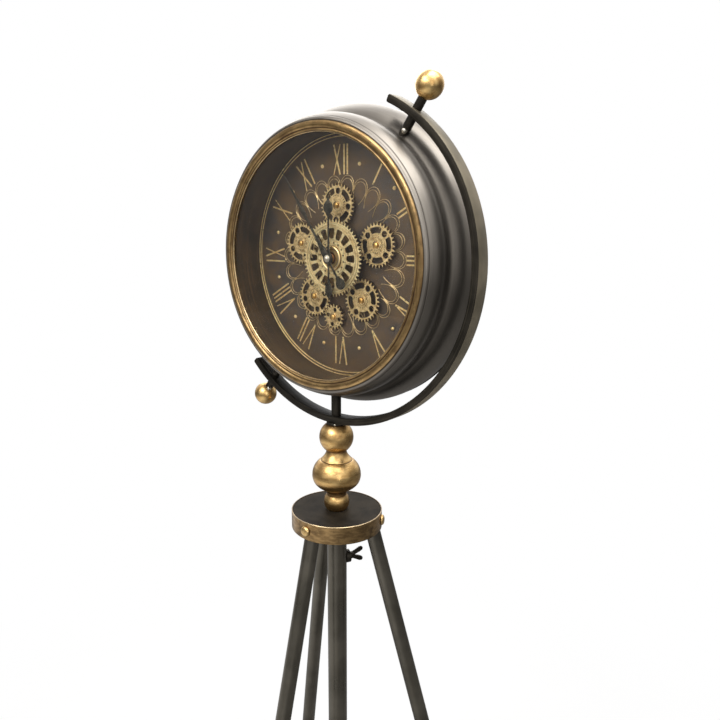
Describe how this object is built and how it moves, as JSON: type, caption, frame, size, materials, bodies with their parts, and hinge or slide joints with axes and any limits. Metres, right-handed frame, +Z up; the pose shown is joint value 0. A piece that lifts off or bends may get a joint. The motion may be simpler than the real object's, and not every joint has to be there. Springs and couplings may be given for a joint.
{
  "type": "tripod floor clock",
  "caption": "Floor clock: round case with a glazed open gear train in a curved side arm, on a turned finial, a collar and three splayed legs round a column.",
  "frame": {"origin": "on the floor, at the middle of the three feet's bounding box; the column's axis is 72.2 mm behind it", "axes": "+Z up along the column, -Y out of the dial towards the viewer, +X to the viewer's right, the side the arm passes"},
  "size_m": [0.53, 0.4629, 1.5994],
  "materials": {
    "black_steel": "satin",
    "bronze_steel": "satin",
    "antique_brass": "satin",
    "aged_bezel": "satin",
    "gunmetal": "satin",
    "old_gold": "satin",
    "dial_bronze": "satin",
    "case_brown": "matte",
    "hand_steel": "satin",
    "clear_glass": "gloss",
    "black_rubber": "matte",
    "black_plastic": "matte",
    "cell_jacket": "satin"
  },
  "bodies": {
    "tripod": {"collar_disc": "bronze_steel", "collar_band": "bronze_steel", "collar_screws": "antique_brass", "leg_front": "bronze_steel", "leg_right": "bronze_steel", "leg_left": "bronze_steel", "foot_caps": "black_rubber", "column_tube": "bronze_steel", "column_bush": "black_plastic", "column_plug": "black_plastic", "clamp_boss": "black_steel"},
    "clamp": {"wing_screw": "black_steel"},
    "pole": {"inner_pole": "black_steel", "pole_shoe": "black_plastic", "finial_turnings": "antique_brass", "finial_washer": "black_steel"},
    "head": {"arm": "black_steel", "pivot_rods": "black_steel", "knob_balls": "antique_brass", "support_post": "black_steel", "case_drum": "gunmetal", "bezel": "aged_bezel", "glass": "clear_glass", "inner_liner": "case_brown", "dial_plate": "dial_bronze", "gear_arbors": "old_gold", "centre_sleeve": "old_gold", "movement_box": "black_plastic", "movement_cell": "cell_jacket", "motor_box": "black_plastic", "motor_cell": "cell_jacket", "back_cover": "black_steel"},
    "centre_wheels": {"centre_wheel": "old_gold", "driving_wheel": "old_gold"},
    "top_wheel": {"wheel_top": "old_gold"},
    "right_wheel": {"wheel_right": "old_gold"},
    "left_wheel": {"wheel_left": "old_gold"},
    "lower_right_wheel": {"wheel_lower_right": "old_gold"},
    "lower_left_wheel": {"wheel_lower_left": "old_gold", "drive_shaft": "old_gold"},
    "bottom_wheel": {"wheel_bottom": "old_gold"},
    "minutes": {"minute_hand": "hand_steel", "hand_nut": "hand_steel"},
    "hours": {"hour_hand": "hand_steel"},
    "setting": {"set_wheel": "black_plastic"},
    "switch": {"motor_switch": "black_plastic"}
  },
  "joints": [
    {"name": "pole_height", "type": "slide", "parent": "tripod", "child": "pole", "axis": [0, 0, 1], "range_m": [0, 0.3]},
    {"name": "head_turn", "type": "hinge", "parent": "pole", "child": "head", "pos_m": [0, 0.07223, 1.08109], "axis": [0, 0, 1], "range_deg": [-180, 180]},
    {"name": "clamp_turn", "type": "hinge", "parent": "tripod", "child": "clamp", "pos_m": [0, 0.07223, 0.838], "axis": [0.4384, 0.8988, 0], "range_deg": [0, 360]},
    {"name": "centre_turn", "type": "hinge", "parent": "head", "child": "centre_wheels", "pos_m": [0, 0.07823, 1.34579], "axis": [0, 1, 0], "continuous": true},
    {"name": "top_turn", "type": "hinge", "parent": "head", "child": "top_wheel", "pos_m": [0, 0.07823, 1.42609], "axis": [0, 1, 0], "continuous": true},
    {"name": "right_turn", "type": "hinge", "parent": "head", "child": "right_wheel", "pos_m": [0.07753, 0.07823, 1.36671], "axis": [0, 1, 0], "continuous": true},
    {"name": "left_turn", "type": "hinge", "parent": "head", "child": "left_wheel", "pos_m": [-0.07753, 0.07823, 1.36671], "axis": [0, 1, 0], "continuous": true},
    {"name": "lower_right_turn", "type": "hinge", "parent": "head", "child": "lower_right_wheel", "pos_m": [0.04966, 0.07823, 1.28269], "axis": [0, 1, 0], "continuous": true},
    {"name": "lower_left_turn", "type": "hinge", "parent": "head", "child": "lower_left_wheel", "pos_m": [-0.04944, 0.07823, 1.28251], "axis": [0, 1, 0], "continuous": true},
    {"name": "bottom_turn", "type": "hinge", "parent": "head", "child": "bottom_wheel", "pos_m": [-0.00847, 0.07823, 1.25164], "axis": [0, 1, 0], "continuous": true},
    {"name": "minute_turn", "type": "hinge", "parent": "head", "child": "minutes", "pos_m": [0, 0.05423, 1.34579], "axis": [0, 1, 0], "continuous": true},
    {"name": "hour_turn", "type": "hinge", "parent": "head", "child": "hours", "pos_m": [0, 0.05723, 1.34579], "axis": [0, 1, 0], "continuous": true},
    {"name": "setting_turn", "type": "hinge", "parent": "head", "child": "setting", "pos_m": [0, 0.12623, 1.35379], "axis": [0, 1, 0], "continuous": true},
    {"name": "switch_slide", "type": "slide", "parent": "head", "child": "switch", "axis": [1, 0, 0], "range_m": [0, 0.006]}
  ],
  "couplings": [
    {"joint": "top_turn", "follows": "centre_turn", "ratio": -1.5},
    {"joint": "right_turn", "follows": "centre_turn", "ratio": -1.5},
    {"joint": "left_turn", "follows": "centre_turn", "ratio": -1.5},
    {"joint": "lower_right_turn", "follows": "centre_turn", "ratio": -1.5},
    {"joint": "lower_left_turn", "follows": "centre_turn", "ratio": -1.5},
    {"joint": "bottom_turn", "follows": "centre_turn", "ratio": 2.5263},
    {"joint": "hour_turn", "follows": "minute_turn", "ratio": 0.083333},
    {"joint": "setting_turn", "follows": "minute_turn", "ratio": -1}
  ]
}
